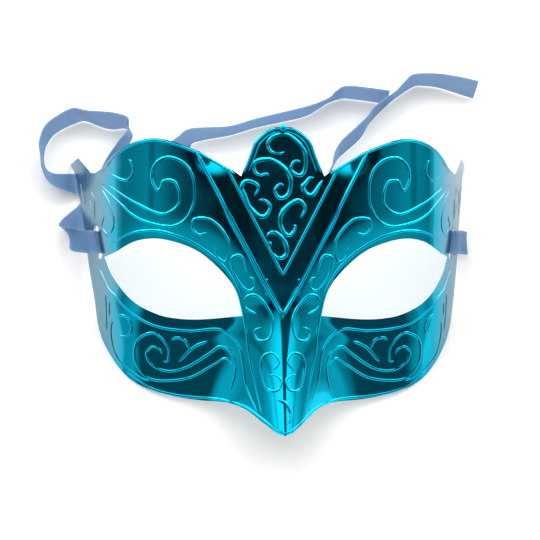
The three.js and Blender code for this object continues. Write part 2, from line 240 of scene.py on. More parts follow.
half = (smooth_run(crown_edge, 1.0)[:-1] + smooth_run(brow_edge, 1.2)[:-1]
        + [Vector(p) for p in ear_edge[:-1]] + smooth_run(side_edge, 1.2))
outline = half + mirrored(reversed(half[1:-1]))
trim(shell, upright_block("outline_die", outline), "INTERSECT")
eye = smooth_run(eye_top, 1.0)[:-1] + smooth_run(eye_bottom, 1.2)[:-1]
trim(shell, upright_block("eye_die_right", eye), "DIFFERENCE")
trim(shell, upright_block("eye_die_left", mirrored(eye)), "DIFFERENCE")

# Each temple has a slot for the ribbon: a narrow bar with round swollen ends, punched square
# through the steep side.
slot_half_length = 7.4
slot_end_radius = 2.0
slot_end_sweep = 280
slot_end_pieces = 14
slot_top = (77.2, 23.6)
slot_middle = (76.4, 16.5)
slot_bottom = (75.6, 9.5)
punch_middle = 0.03
punch_depth_share = 0.06
for side in (-1, 1):
    profile = []
    for centre, first in ((slot_half_length - slot_end_radius, -50),
                          (slot_end_radius - slot_half_length, 130)):
        for n in range(slot_end_pieces + 1):
            a = math.radians(first + slot_end_sweep * n / slot_end_pieces)
            profile.append((slot_end_radius * math.cos(a), centre + slot_end_radius * math.sin(a)))
    punch = upright_block("slot_punch", profile)
    top = on_front(side * slot_top[0], slot_top[1])
    bottom = on_front(side * slot_bottom[0], slot_bottom[1])
    middle = on_front(side * slot_middle[0], slot_middle[1])
    along = (top - bottom).normalized()
    outward = front_normal(side * slot_middle[0], slot_middle[1])
    across = along.cross(outward).normalized()
    outward = across.cross(along)
    basis = Matrix((across, along, outward)).transposed().to_4x4()
    squeeze = Matrix.Diagonal((1, 1, punch_depth_share, 1))
    # The punch's faces give the slot walls the pale material, a painted highlight down the slot.
    for face in punch.data.polygons:
        face.material_index = 1
    centred = Matrix.Translation((0, 0, -punch_middle))
    punch.data.transform(Matrix.Translation(middle) @ basis @ squeeze @ centred)
    trim(shell, punch, "DIFFERENCE")

# The raised lines are part of the same moulding: low rounded beads that stand out of the front. The
# paired lines are the same on both halves of the mask, and the single ones are on the plaque and nose.
paired_lines = {
    "brow_scroll": [(76, 41.6), (74.1, 41.5), (62.3, 33.5), (50.3, 28.6), (44.3, 32.4), (44, 38.3),
                    (46.1, 42.4), (50.3, 42.6), (51.8, 39.3), (52.9, 38.7), (55.4, 44.3),
                    (53.8, 49.9), (49.4, 52.6), (43.7, 51.3), (39.2, 46.9), (37.4, 39.4),
                    (38.2, 31.8), (41.9, 25.6), (47.3, 23.3), (58, 25.4), (63.8, 28.7), (68, 33.1),
                    (76.2, 41.4)],
    "brow_hook": [(75.3, 46.4), (72.6, 45.8), (66.7, 43), (64.9, 43.2), (62.9, 46.2), (63.5, 50.3),
                  (64.5, 51.8)],
    "leaf": [(75.7, 39.6), (74.1, 37.3), (70.9, 28.7), (70.8, 22.8), (72.8, 19.8), (75, 23.2),
             (74.1, 27.8)],
    "leaf_outer": [(79.1, 40.4), (78.9, 37.8), (78, 35.4), (77.6, 26.7)],
    "leaf_back": [(80.1, 39.1), (80.9, 36.5), (80.9, 33.1)],
    "leaf_inner": [(79.6, 34.5), (78.4, 28.8)],
    "ear_line": [(82.6, 41.7), (80.8, 28.8)],
    "brow_curl": [(32.3, 20.6), (35.7, 19.8), (38.2, 22.6), (37.6, 26.2), (30.6, 26), (22.7, 16.3),
                  (24.4, 8.2), (27.4, 10.1), (28.7, 14.6)],
    "bridge_curl": [(14.8, 3.2), (16.9, 9.9), (18.7, 11), (21.6, 9.7), (20.1, 2.4), (14.8, -4.1),
                    (11.8, -2.6), (12.5, 0.9), (14.2, 1.7)],
    "nose_curl": [(11.1, -14), (15.2, -11.8), (16.2, -10.1), (15.2, -6.7), (11.6, -6), (4.6, -15),
                  (6.1, -24.5), (10.7, -24.9), (11.8, -21.1), (8.8, -19.6)],
    "nose_heart": [(4.2, -37.8), (1.9, -34.2), (4.5, -30.5), (8.3, -31.8), (9.4, -37), (6.4, -46.2),
                   (2.3, -46), (1.2, -41.9), (4.5, -39.7), (5.7, -40)],
    "eye_line": [(71.5, 15.7), (65.9, 19.4), (60.9, 21.1), (52.1, 21.3), (38.2, 16.4), (26.1, 7.3),
                 (19.4, -3), (15.3, -21.1), (14.5, -28.8), (9.1, -56.8)],
    "cheek_border": [(75.6, 4.7), (72, -3.9), (70.1, -6), (66.1, -11.2), (54.6, -18.7), (39, -21.2),
                     (25.5, -20.8), (18.5, -27.5), (15.2, -44.7), (11, -55.6)],
    "cheek_scroll": [(49.4, -34.2), (48.1, -34.4), (47.5, -29.2), (52.5, -22.7), (55.1, -22.1),
                     (59.7, -24.2), (61.6, -28.8), (61.1, -34.2), (58.1, -39.3), (53.6, -42.1),
                     (38.8, -41.3), (28.6, -35.7), (23.6, -32.9), (20.6, -35.9)],
    "cheek_inner": [(50, -31.2), (50.8, -29.5), (54.2, -28), (56.6, -30.3), (55.7, -34),
                    (51.5, -37.4), (45.8, -38.4), (39.2, -36.5), (30.2, -30.7), (26.2, -27.9),
                    (22.3, -29.4), (20.1, -33.3), (19.8, -39.6), (21.4, -46.4)],
    "cheek_stroke": [(43.1, -34.4), (36.6, -27.9), (31.4, -25.7)],
    "cheek_arc": [(46.4, -25.2), (44.5, -24.1), (40.8, -25.2), (38.7, -29)],
    "temple_ring": [(67.9, -23), (66.3, -23.6), (64.5, -23.2), (63, -20.2), (64.3, -16.5),
                    (67.2, -14.6), (70.4, -16.5), (71.3, -20.9), (68.5, -32.5), (57.9, -41.7),
                    (54.8, -42.6)],
    "side_line": [(73.6, -5.2), (72.9, -21.1)],
    "side_short": [(72.1, -9), (72, -14.6)],
    "lower_rim": [(64.5, -38.9), (58.9, -42.9), (53.4, -46.1), (42.9, -48.8), (25.5, -50.4),
                  (21.5, -51.3)],
    "outer_v": [(35.9, 53.6), (24.9, 32.4), (22.2, 25.8), (14.6, 11.8), (8.4, -0.2), (0, -14.6)],
    "inner_v": [(23.8, 48.2), (0, 2.4)],
}
single_lines = {
    "crown_curl": [(0.6, 54.9), (-1.1, 54.2), (-4.8, 54.9), (-6.5, 58.2), (-4.1, 61.5), (0.8, 62.2),
                   (3.8, 61.1), (9.4, 54.6), (8.8, 46), (6.9, 44.9), (3.5, 47.2), (4.5, 50.6),
                   (6, 51.2), (7.4, 50.7)],
    "upper_curl": [(-6, 44.7), (-6.7, 45.6), (-10, 45.1), (-11.8, 46.6), (-12.1, 50.3),
                   (-5.4, 51.5), (1.7, 46.6), (3.4, 41.7), (1.9, 36.4), (-1.4, 35.3), (-3.4, 38.6),
                   (-1.1, 41.3), (0.2, 40.7)],
    "left_curl": [(-12, 36.1), (-10.4, 39.8), (-11.2, 41.3), (-15.3, 42.6), (-17, 41.3),
                  (-17.5, 39.1), (-16.7, 37.4), (-14.6, 32.1), (-10.5, 27.8), (-8.4, 27.3),
                  (-6.7, 28.4), (-5.4, 32.1), (-8.4, 34.6), (-10.3, 34.4)],
    "right_curl": [(13.1, 43.9), (11.5, 43.9), (10, 42), (8.4, 40.1), (10.5, 36.7), (12.4, 36.5),
                   (17, 42.9)],
    "middle_curl": [(7.5, 26.7), (9.5, 31), (7.5, 34), (5.4, 34), (-0.5, 28.8), (-0.9, 23.4),
                    (1.9, 19.5), (3.8, 20), (5.4, 23.5), (4.5, 23.5)],
    "lower_curl": [(-6.9, 18.9), (-5.7, 20.4), (-3.8, 20.9), (0.2, 17.6), (1.7, 13), (1.1, 10.9),
                   (-0.8, 9.8), (-2.9, 10.3), (-4, 11.8)],
    "dash": [(-6.2, 16.8), (-4.8, 15.2)],
    "nose_hook": [(-3.7, -49.9), (0.6, -51.9), (2.9, -55.9), (1.9, -60.5)],
}


def inset_run(points, inset):
    """The run moved sideways by inset mm, for a bead just inside the trimmed edge."""
    moved = []
    for i, p in enumerate(points):
        ahead = points[min(i + 1, len(points) - 1)] - points[max(i - 1, 0)]
        side = Vector((ahead.y, -ahead.x)).normalized()
        moved.append(p + side * inset)
    return moved


def raised_bead(name, run, half_width, height, swell=0.0, foot=0.04):
    """A raised line along a run on the front: rounded on top, steep at the sides, let into the
    sheet. With swell it thins towards both ends, like a pen stroke."""
    root_depth = 0.25
    section = [(-1, -foot - root_depth), (-1, -foot), (-0.88, 0.08 * height), (-0.5, 0.75 * height),
               (-0.28, 0.95 * height), (0, height)]
    section += [(-u, rise) for u, rise in reversed(section[:-1])]
    around = len(section)
    vertices, faces = [], []
    for i, p in enumerate(run):
        before, after = run[max(i - 1, 0)], run[min(i + 1, len(run) - 1)]
        ahead = (on_front(after[0], after[1]) - on_front(before[0], before[1])).normalized()
        normal = front_normal(p[0], p[1])
        side = normal.cross(ahead).normalized()
        # The first two rows and the last two are smaller, so that the line ends round.
        end_taper = min(1.0, 0.4 + 0.3 * min(i, len(run) - 1 - i))
        stroke = 1 - swell + swell * math.sin(math.pi * i / (len(run) - 1))
        reach = half_width * end_taper * stroke
        middle = on_front(p[0], p[1])
        for u, rise in section:
            lift = rise * end_taper if rise > 0 else rise
            vertices.append(middle + (side * (u * reach) + normal * lift) / 1000)
        if i:
            for k in range(around):
                a, b = (i - 1) * around + k, (i - 1) * around + (k + 1) % around
                faces.append((a, a + around, b + around, b))
    faces.append(tuple(range(around)))
    faces.append(tuple(reversed(range(len(vertices) - around, len(vertices)))))
    mesh = bpy.data.meshes.new(name)
    mesh.from_pydata(vertices, [], faces)
    mesh.materials.append(lacquer)
    bead = bpy.data.objects.new(name, mesh)
    bpy.context.collection.objects.link(bead)
    return bead


def bead_pair(name, run, half_width, height, swell=0.0, foot=0.04):
    """The same raised line on both halves of the mask."""
    return [raised_bead(name + "_right", run, half_width, height, swell, foot),
            raised_bead(name + "_left", mirrored(run), half_width, height, swell, foot)]


beads = []
for name, points in paired_lines.items():
    run = smooth_run(points, 0.7)
    if name == "outer_v":
        beads += bead_pair(name, run, half_width=1.15, height=1.0, foot=0.7)
    else:
        beads += bead_pair(name, run, half_width=0.66, height=0.28,
                           swell=0.25 if len(points) > 4 else 0.0)
for name, points in single_lines.items():
    beads.append(raised_bead(name, smooth_run(points, 0.6), half_width=1.05, height=0.46, swell=0.5))
crown_run, brow_run = smooth_run(crown_edge, 1.0), smooth_run(brow_edge, 1.2)
nose_run = smooth_run(side_edge[-5:], 1.0)
beads += bead_pair("crown_rim", inset_run(crown_run, 0.75)[1:-2], half_width=0.65, height=0.5)
beads += bead_pair("crown_inner_rim", inset_run(crown_run, 2.3)[1:-3], half_width=0.5, height=0.4)
beads += bead_pair("nose_rim", inset_run(nose_run, 1.1)[1:], half_width=0.6, height=0.45)
beads += bead_pair("brow_rim", inset_run(brow_run, 0.8)[2:-2], half_width=0.6, height=0.45)

# Small nubs where the sheet was held while it was formed.
nub_rise = 0.1
for x, y, radius in ((0, 65.1, 1.6), (37.1, 54.9, 0.7), (-37.1, 54.9, 0.7), (24.7, 48, 0.7),
                     (-24.7, 48, 0.7), (6.7, 0.6, 0.5), (-6.7, 0.6, 0.5)):
    bpy.ops.mesh.primitive_uv_sphere_add(segments=16, ring_count=8, radius=radius / 1000,
                                         location=on_front(x, y, nub_rise))
    bpy.ops.object.transform_apply(location=True)
    bpy.context.object.data.materials.append(lacquer)
    beads.append(bpy.context.object)
pick(shell)
for bead in beads:
    bead.select_set(True)
bpy.ops.object.join()
lie_down(shell)

# The table plane trims four small flats on the shell, where it stands.
pick(shell)
bpy.ops.object.mode_set(mode="EDIT")
bpy.ops.mesh.select_all(action="SELECT")
bpy.ops.mesh.bisect(plane_co=(0, 0, 0), plane_no=(0, 0, 1), use_fill=True, clear_inner=True)
bpy.ops.object.mode_set(mode="OBJECT")
bpy.ops.object.shade_smooth_by_angle(angle=math.radians(38))

# The front is metallised and lacquered teal, mirror bright, with fine handling scratches and slight
# waves in the thin sheet. Towards the temples the colour turns a darker blue and then greyish, and
# the surface duller.
haze_raggedness = 0.012
haze_dulling = 0.22
lacquer.use_nodes = True
nodes, links = lacquer.node_tree.nodes, lacquer.node_tree.links
skin = nodes["Principled BSDF"]
skin.inputs["Metallic"].default_value = 0.985
skin.inputs["Coat Weight"].default_value = 0.05
skin.inputs["Coat Roughness"].default_value = 0.1
place = nodes.new("ShaderNodeTexCoord")
spread = nodes.new("ShaderNodeSeparateXYZ")
links.new(place.outputs["Object"], spread.inputs["Vector"])
sideways = nodes.new("ShaderNodeMath")
sideways.operation = "ABSOLUTE"
links.new(spread.outputs["X"], sideways.inputs[0])
patches = nodes.new("ShaderNodeTexNoise")
patches.inputs["Scale"].default_value = 55
patches.inputs["Detail"].default_value = 3
links.new(place.outputs["Object"], patches.inputs["Vector"])
ragged = nodes.new("ShaderNodeMath")
ragged.operation = "MULTIPLY_ADD"
ragged.inputs[1].default_value = haze_raggedness
links.new(patches.outputs["Fac"], ragged.inputs[0])
links.new(sideways.outputs["Value"], ragged.inputs[2])
haze = nodes.new("ShaderNodeMapRange")
haze.interpolation_type = "SMOOTHSTEP"
haze.inputs["From Min"].default_value = 0.071
haze.inputs["From Max"].default_value = 0.084
links.new(ragged.outputs["Value"], haze.inputs["Value"])
tone = nodes.new("ShaderNodeMix")
tone.data_type = "RGBA"
tone.inputs["A"].default_value = (0.0, 0.58, 0.84, 1)
tone.inputs["B"].default_value = (0.0, 0.52, 0.74, 1)
links.new(patches.outputs["Fac"], tone.inputs["Factor"])
temple_darkening = nodes.new("ShaderNodeMapRange")
temple_darkening.inputs["From Min"].default_value = 0.064
temple_darkening.inputs["From Max"].default_value = 0.072
links.new(ragged.outputs["Value"], temple_darkening.inputs["Value"])
temple_darker_blue = nodes.new("ShaderNodeMix")
temple_darker_blue.data_type = "RGBA"
temple_darker_blue.inputs["B"].default_value = (0.0, 0.38, 0.56, 1)
links.new(temple_darkening.outputs["Result"], temple_darker_blue.inputs["Factor"])
links.new(tone.outputs["Result"], temple_darker_blue.inputs["A"])
temple_greying = nodes.new("ShaderNodeMix")
temple_greying.data_type = "RGBA"
temple_greying.inputs["B"].default_value = (0.19, 0.33, 0.41, 1)
links.new(haze.outputs["Result"], temple_greying.inputs["Factor"])
links.new(temple_darker_blue.outputs["Result"], temple_greying.inputs["A"])
links.new(temple_greying.outputs["Result"], skin.inputs["Base Color"])

strokes = nodes.new("ShaderNodeMapping")
strokes.inputs["Scale"].default_value = (900, 60, 60)
strokes.inputs["Rotation"].default_value = (0, 0, 0.5)
links.new(place.outputs["Object"], strokes.inputs["Vector"])
scratches = nodes.new("ShaderNodeTexNoise")
scratches.inputs["Scale"].default_value = 1
scratches.inputs["Detail"].default_value = 2
links.new(strokes.outputs["Vector"], scratches.inputs["Vector"])
rough = nodes.new("ShaderNodeMapRange")
rough.inputs["From Min"].default_value = 0.35
rough.inputs["From Max"].default_value = 0.75
rough.inputs["To Min"].default_value = 0.05
rough.inputs["To Max"].default_value = 0.11
links.new(scratches.outputs["Fac"], rough.inputs["Value"])
dulled = nodes.new("ShaderNodeMath")
dulled.operation = "MULTIPLY_ADD"
dulled.inputs[1].default_value = haze_dulling
links.new(haze.outputs["Result"], dulled.inputs[0])
links.new(rough.outputs["Result"], dulled.inputs[2])
links.new(dulled.outputs["Value"], skin.inputs["Roughness"])

waves = nodes.new("ShaderNodeTexNoise")
waves.inputs["Scale"].default_value = 42
waves.inputs["Detail"].default_value = 1
links.new(place.outputs["Object"], waves.inputs["Vector"])
sheet_waves = nodes.new("ShaderNodeBump")
sheet_waves.inputs["Strength"].default_value = 0.35
sheet_waves.inputs["Distance"].default_value = 0.001
links.new(waves.outputs["Fac"], sheet_waves.inputs["Height"])
fine = nodes.new("ShaderNodeBump")
fine.inputs["Strength"].default_value = 0.02
fine.inputs["Distance"].default_value = 0.0002
links.new(scratches.outputs["Fac"], fine.inputs["Height"])
links.new(sheet_waves.outputs["Normal"], fine.inputs["Normal"])
links.new(fine.outputs["Normal"], skin.inputs["Normal"])

# Inside the slots the punch left bare white plastic; its pale colour is also a painted highlight,
# the bright line seen down each slot.
bare_and_highlight.use_nodes = True
bare_and_highlight_skin = bare_and_highlight.node_tree.nodes["Principled BSDF"]
bare_and_highlight_skin.inputs["Base Color"].default_value = (0.82, 0.85, 0.88, 1)
torn = bare_and_highlight.node_tree.nodes.new("ShaderNodeTexNoise")
torn.inputs["Scale"].default_value = 900
bare_and_highlight_place = bare_and_highlight.node_tree.nodes.new("ShaderNodeTexCoord")
bare_and_highlight.node_tree.links.new(bare_and_highlight_place.outputs["Object"], torn.inputs["Vector"])
torn_rough = bare_and_highlight.node_tree.nodes.new("ShaderNodeMapRange")
torn_rough.inputs["To Min"].default_value = 0.3
torn_rough.inputs["To Max"].default_value = 0.7
bare_and_highlight.node_tree.links.new(torn.outputs["Fac"], torn_rough.inputs["Value"])
bare_and_highlight.node_tree.links.new(torn_rough.outputs["Result"], bare_and_highlight_skin.inputs["Roughness"])

# The inside was never metallised: dull pale plastic, with soft stains and a faint orange-peel skin.
inside.use_nodes = True
grains, joins = inside.node_tree.nodes, inside.node_tree.links
back_skin = grains["Principled BSDF"]
back_place = grains.new("ShaderNodeTexCoord")
stains = grains.new("ShaderNodeTexNoise")
stains.inputs["Scale"].default_value = 30
stains.inputs["Detail"].default_value = 4
joins.new(back_place.outputs["Object"], stains.inputs["Vector"])
back_tone = grains.new("ShaderNodeMix")
back_tone.data_type = "RGBA"
back_tone.inputs["A"].default_value = (0.42, 0.56, 0.6, 1)
back_tone.inputs["B"].default_value = (0.55, 0.68, 0.71, 1)
joins.new(stains.outputs["Fac"], back_tone.inputs["Factor"])
joins.new(back_tone.outputs["Result"], back_skin.inputs["Base Color"])
back_rough = grains.new("ShaderNodeMapRange")
back_rough.inputs["To Min"].default_value = 0.3
back_rough.inputs["To Max"].default_value = 0.55
joins.new(stains.outputs["Fac"], back_rough.inputs["Value"])
joins.new(back_rough.outputs["Result"], back_skin.inputs["Roughness"])
peel = grains.new("ShaderNodeTexNoise")
peel.inputs["Scale"].default_value = 600
joins.new(back_place.outputs["Object"], peel.inputs["Vector"])
peel_bump = grains.new("ShaderNodeBump")
peel_bump.inputs["Strength"].default_value = 0.15
peel_bump.inputs["Distance"].default_value = 0.0001
joins.new(peel.outputs["Fac"], peel_bump.inputs["Height"])
joins.new(peel_bump.outputs["Normal"], back_skin.inputs["Normal"])
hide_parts("mask_shell")
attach(shell, "root")


# The ribbons: light blue satin, about 10 mm wide, threaded out through the slots, folded round
# the edge of the temple and left lying loose on the table behind the mask, mostly on one edge.
ribbon_width = 0.010
ribbon_thickness = 0.0003
ribbon_lanes = 8
ribbon_rows_a_station = 6
woven_share = 0.98
# Each station is the middle of the band in mm, the compass turn of its width and its lean in degrees.
left_route = [
    (-71.9, 24.4, 14.4, 96, 6), (-77.8, 23.5, 17.2, 96, 6), (-81.1, 25.4, 12.4, 96, 4),
    (-86, 27.6, 8.6, 105, 0), (-88.3, 31.8, 5.4, 118, 0), (-86.9, 35.1, 3.5, 130, 4),
    (-83, 39, 1.9, 134, 8), (-78.7, 43.5, 1, 136, 2), (-72, 54, 0.4, 142, 0),
    (-67.8, 61.5, 1.3, 148, 10), (-65.2, 67.2, 3.1, 163, 34), (-63.4, 72, 4.6, 184, 58),
    (-60.1, 78, 4.9, 219, 63), (-62.1, 82.6, 5.1, 37, 77), (-68.3, 83.6, 4.6, 84, 62),
    (-78.6, 85.6, 5.2, 107, 82), (-83.9, 85.8, 4.7, 120, 64), (-89.1, 83.4, 4.7, 148, 62),
    (-95, 79, 4.8, 176, 61), (-98.1, 72.6, 4.9, 213, 63), (-98.4, 66.8, 5, 237, 67),
    (-97.4, 61.1, 4.8, 237, 63), (-94, 57.2, 3.7, 243, 44), (-88.4, 56, 2.3, 255, 25),
    (-84.7, 55.9, 1.45, 261, 14), (-80.8, 55, 1.8, 273, 8), (-72, 55.6, 4.8, 285, 35),
    (-63, 60, 6.2, 200, 86), (-54, 62.5, 5.1, 125, 66), (-45.5, 67, 4.6, 135, 52),
    (-37.6, 72.8, 4.1, 146, 50), (-33, 76.7, 4.8, 131, 66), (-16.7, 78.9, 5.1, 166, 79),
    (-5, 82.5, 5.1, 173, 79), (14.3, 87.2, 5.1, 164, 78), (21.3, 89.9, 5.1, 203, 77),
    (26.9, 93.1, 5.1, 229, 74), (30.8, 95.6, 5.1, 182, 76), (36, 96.9, 5, 116, 74),
    (53.2, 94.6, 5, 89, 74)]
right_route = [
    (71.9, 24.4, 14.4, 264, -6), (77.8, 23.5, 17.2, 264, -6), (81.1, 25.4, 12.4, 265, -4),
    (83.8, 26.6, 8, 270, 0), (83.8, 27.6, 4.2, 270, 0), (79.6, 29.6, 1.6, 264, 0),
    (72, 35.2, 0.9, 251, 5), (58, 42, 1.7, 246, 15), (44, 46.5, 3.7, 236, 42),
    (33, 51, 5.2, 225, 68), (26.2, 56, 5.4, 215, 75),
    (27.3, 62.3, 5.1, 243, 69), (29.4, 67.9, 5, 214, 67), (32.7, 72, 4.9, 175, 66),
    (39, 77.8, 4.9, 178, 65), (43.6, 83.5, 5.1, 210, 70), (46.9, 87.7, 5.1, 203, 70),
    (50.5, 91.1, 5.1, 201, 72), (56.5, 95.9, 5.1, 214, 73), (60.8, 99.8, 5.1, 191, 72),
    (64.6, 102.5, 5, 151, 72), (68.8, 102.9, 5.1, 113, 76), (76, 102.4, 5, 90, 73),
    (84.5, 100.4, 4.8, 77, 63), (91.9, 98.4, 4.5, 75, 57)]

# Satin: fine cross threads, a firmer woven edge, and a soft sheen along the folds. Its pattern is
# measured in mm across and along the band.
half_band = ribbon_width * 1000 / 2
selvedge_start, selvedge_full = 0.9, 0.6
satin = bpy.data.materials.new("light_blue_satin")
satin.use_nodes = True
yarns, ties = satin.node_tree.nodes, satin.node_tree.links
cloth = yarns["Principled BSDF"]
cloth.inputs["Sheen Weight"].default_value = 0.15
cloth.inputs["Sheen Roughness"].default_value = 0.4
cloth.inputs["Subsurface Weight"].default_value = 0.85
cloth.inputs["Subsurface Radius"].default_value = (1, 1, 1)
cloth.inputs["Subsurface Scale"].default_value = 0.002
band_place = yarns.new("ShaderNodeUVMap")
band_place.uv_map = "band"
across_band = yarns.new("ShaderNodeSeparateXYZ")
ties.new(band_place.outputs["UV"], across_band.inputs["Vector"])
from_middle = yarns.new("ShaderNodeMath")
from_middle.operation = "SUBTRACT"
from_middle.inputs[1].default_value = half_band
ties.new(across_band.outputs["X"], from_middle.inputs[0])
out_to_edge = yarns.new("ShaderNodeMath")
out_to_edge.operation = "ABSOLUTE"
ties.new(from_middle.outputs["Value"], out_to_edge.inputs[0])
selvedge = yarns.new("ShaderNodeMapRange")
selvedge.inputs["From Min"].default_value = half_band - selvedge_start
selvedge.inputs["From Max"].default_value = half_band - selvedge_full
ties.new(out_to_edge.outputs["Value"], selvedge.inputs["Value"])
cloudy = yarns.new("ShaderNodeTexNoise")
cloudy.inputs["Scale"].default_value = 0.12
cloudy.inputs["Detail"].default_value = 3
ties.new(band_place.outputs["UV"], cloudy.inputs["Vector"])
blue = yarns.new("ShaderNodeMix")
blue.data_type = "RGBA"
blue.inputs["A"].default_value = (0.041, 0.142, 0.305, 1)
blue.inputs["B"].default_value = (0.06, 0.18, 0.36, 1)
ties.new(cloudy.outputs["Fac"], blue.inputs["Factor"])
edge_blue = yarns.new("ShaderNodeMix")
edge_blue.data_type = "RGBA"
edge_blue.inputs["B"].default_value = (0.078, 0.21, 0.395, 1)
ties.new(selvedge.outputs["Result"], edge_blue.inputs["Factor"])
ties.new(blue.outputs["Result"], edge_blue.inputs["A"])
ties.new(edge_blue.outputs["Result"], cloth.inputs["Base Color"])
worn = yarns.new("ShaderNodeMapRange")
worn.inputs["To Min"].default_value = 0.46
worn.inputs["To Max"].default_value = 0.64
ties.new(cloudy.outputs["Fac"], worn.inputs["Value"])
ties.new(worn.outputs["Result"], cloth.inputs["Roughness"])
threads = yarns.new("ShaderNodeTexWave")
threads.bands_direction = "Y"
threads.inputs["Scale"].default_value = 0.85
threads.inputs["Distortion"].default_value = 0.6
threads.inputs["Detail"].default_value = 2
ties.new(band_place.outputs["UV"], threads.inputs["Vector"])
weave = yarns.new("ShaderNodeBump")
weave.inputs["Strength"].default_value = 0.35
weave.inputs["Distance"].default_value = 0.00008
ties.new(threads.outputs["Fac"], weave.inputs["Height"])
hem = yarns.new("ShaderNodeBump")
hem.inputs["Strength"].default_value = 0.5
hem.inputs["Distance"].default_value = 0.00015
ties.new(selvedge.outputs["Result"], hem.inputs["Height"])
ties.new(weave.outputs["Normal"], hem.inputs["Normal"])
ties.new(hem.outputs["Normal"], cloth.inputs["Normal"])


def smooth_step(values, s):
    """The value a part s of the way from the second to the third of four, on a smooth curve."""
    a, b, c, d = values
    return 0.5 * (2 * b + (c - a) * s + (2 * a - 5 * b + 4 * c - d) * s * s
                  + (3 * b - a - 3 * c + d) * s ** 3)


def width_direction(turn, lean):
    """The way across the band: a compass turn on the table, tipped up by the lean."""
    turn, lean = math.radians(turn), math.radians(lean)
    flat = math.cos(lean)
    return Vector((flat * math.cos(turn), flat * math.sin(turn), math.sin(lean)))


def ribbon_band(name, route):
    """Makes a band along the route, its lower edge kept off the table. Gives back the band, the
    line of its middle and its length."""
    spots = [Vector(station[:3]) / 1000 for station in route]
    leans = [width_direction(*station[3:]) for station in route]
    last = len(route) - 1
    middles, widths = [], []
    for i in range(last):
        around = [min(max(i + k, 0), last) for k in (-1, 0, 1, 2)]
        for n in range(ribbon_rows_a_station):
            middles.append(smooth_step([spots[k] for k in around], n / ribbon_rows_a_station))
            widths.append(smooth_step([leans[k] for k in around], n / ribbon_rows_a_station))
    middles.append(spots[last])
    widths.append(leans[last])
    vertices, faces, lengths = [], [], [0.0]
    for i, middle in enumerate(middles):
        ahead = (middles[min(i + 1, len(middles) - 1)] - middles[max(i - 1, 0)]).normalized()
        across = (widths[i] - ahead * widths[i].dot(ahead)).normalized()
        reach = abs(across.z) * ribbon_width * (woven_share / 2) + ribbon_thickness / 2
        middle.z = max(middle.z, reach)
        for k in range(ribbon_lanes + 1):
            from_edge = k / ribbon_lanes
            vertices.append(middle + across * ((from_edge - 0.5) * ribbon_width * woven_share))
        if i:
            lengths.append(lengths[-1] + (middle - middles[i - 1]).length)
    for row in range(len(middles) - 1):
        for k in range(ribbon_lanes):
            a = row * (ribbon_lanes + 1) + k
            b = a + ribbon_lanes + 1
            faces.append((a, a + 1, b + 1, b))
    mesh = bpy.data.meshes.new(name)
    mesh.from_pydata(vertices, [], faces)
    uv = mesh.uv_layers.new(name="band")
    for loop in mesh.loops:
        row, lane = divmod(loop.vertex_index, ribbon_lanes + 1)
        uv.data[loop.index].uv = (lane / ribbon_lanes * ribbon_width * 1000, lengths[row] * 1000)
    band = bpy.data.objects.new(name, mesh)
    bpy.context.collection.objects.link(band)
    pick(band)
    wall = band.modifiers.new("cloth", "SOLIDIFY")
    wall.thickness = ribbon_thickness
    wall.offset = 0
    bpy.ops.object.modifier_apply(modifier="cloth")
    bpy.ops.object.shade_smooth_by_angle(angle=math.radians(50))
    band.data.materials.append(satin)
    return band, [tuple(m) for m in middles], lengths[-1]


for name, node, route, side in (("satin_ribbon_left", "ribbon_left", left_route, -1),
                                ("satin_ribbon_right", "ribbon_right", right_route, 1)):
    band, middle_line, length = ribbon_band(name, route)
    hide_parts(node)
    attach(band, "root")


# The table the mask lies on, plain and nearly white, with a faint light of its own that keeps the
# shadows soft and pale.
table_size = 6
table_clearance = 0.0002
bpy.ops.mesh.primitive_plane_add(size=table_size, location=(0, 0, -table_clearance))
table = bpy.context.object
table.name = "table_top"
card = bpy.data.materials.new("white_card")
card.use_nodes = True
card_skin = card.node_tree.nodes["Principled BSDF"]
card_skin.inputs["Base Color"].default_value = (0.95, 0.95, 0.95, 1)
card_skin.inputs["Roughness"].default_value = 0.9
card_skin.inputs["Emission Color"].default_value = (1, 0.93, 0.88, 1)
card_skin.inputs["Emission Strength"].default_value = 0.2
table.data.materials.append(card)

# Camera: square to the face, turned a little towards the mask's right temple, from far away. The
# lens gives the photo's scale, in metres a pixel, about half way through the depth of the face.
photo_turn = math.radians(6.5)
photo_pixels = 540
pixel_size = 0.0004285
aim_across, aim_up = 0.00086, 0.00473
camera_distance = 3.0
face_half_depth = 0.03
sensor_width = 36
toward_camera = Vector((-math.sin(photo_turn),
                        -math.cos(photo_turn) * math.sin(mask_lean),
                        math.cos(photo_turn) * math.cos(mask_lean)))
up = Vector((0, math.cos(mask_lean), math.sin(mask_lean)))
aim = Vector((aim_across, aim_up * math.cos(mask_lean) + mask_middle_shift,
              aim_up * math.sin(mask_lean) - table_below_face))
camera_data = bpy.data.cameras.new("camera")
camera = bpy.data.objects.new("camera", camera_data)
bpy.context.collection.objects.link(camera)
camera_data.sensor_width = sensor_width
camera_data.lens = sensor_width * (camera_distance - face_half_depth) / (photo_pixels * pixel_size)
camera.location = aim + toward_camera * camera_distance
right = up.cross(toward_camera).normalized()
up = toward_camera.cross(right)
camera.rotation_mode = "QUATERNION"
camera.rotation_quaternion = Matrix((right, up, toward_camera)).transposed().to_quaternion()
bpy.context.scene.camera = camera

# Soft studio light: a pale room, darker behind the camera where nothing is lit, and broad lamps.
bpy.context.scene.view_settings.view_transform = "Standard"
world = bpy.context.scene.world or bpy.data.worlds.new("studio")
bpy.context.scene.world = world
world.use_nodes = True
room, wires = world.node_tree.nodes, world.node_tree.links
room.clear()
way = room.new("ShaderNodeTexCoord")
clutter = room.new("ShaderNodeTexNoise")
clutter.inputs["Scale"].default_value = 2.5
clutter.inputs["Detail"].default_value = 1
wires.new(way.outputs["Generated"], clutter.inputs["Vector"])


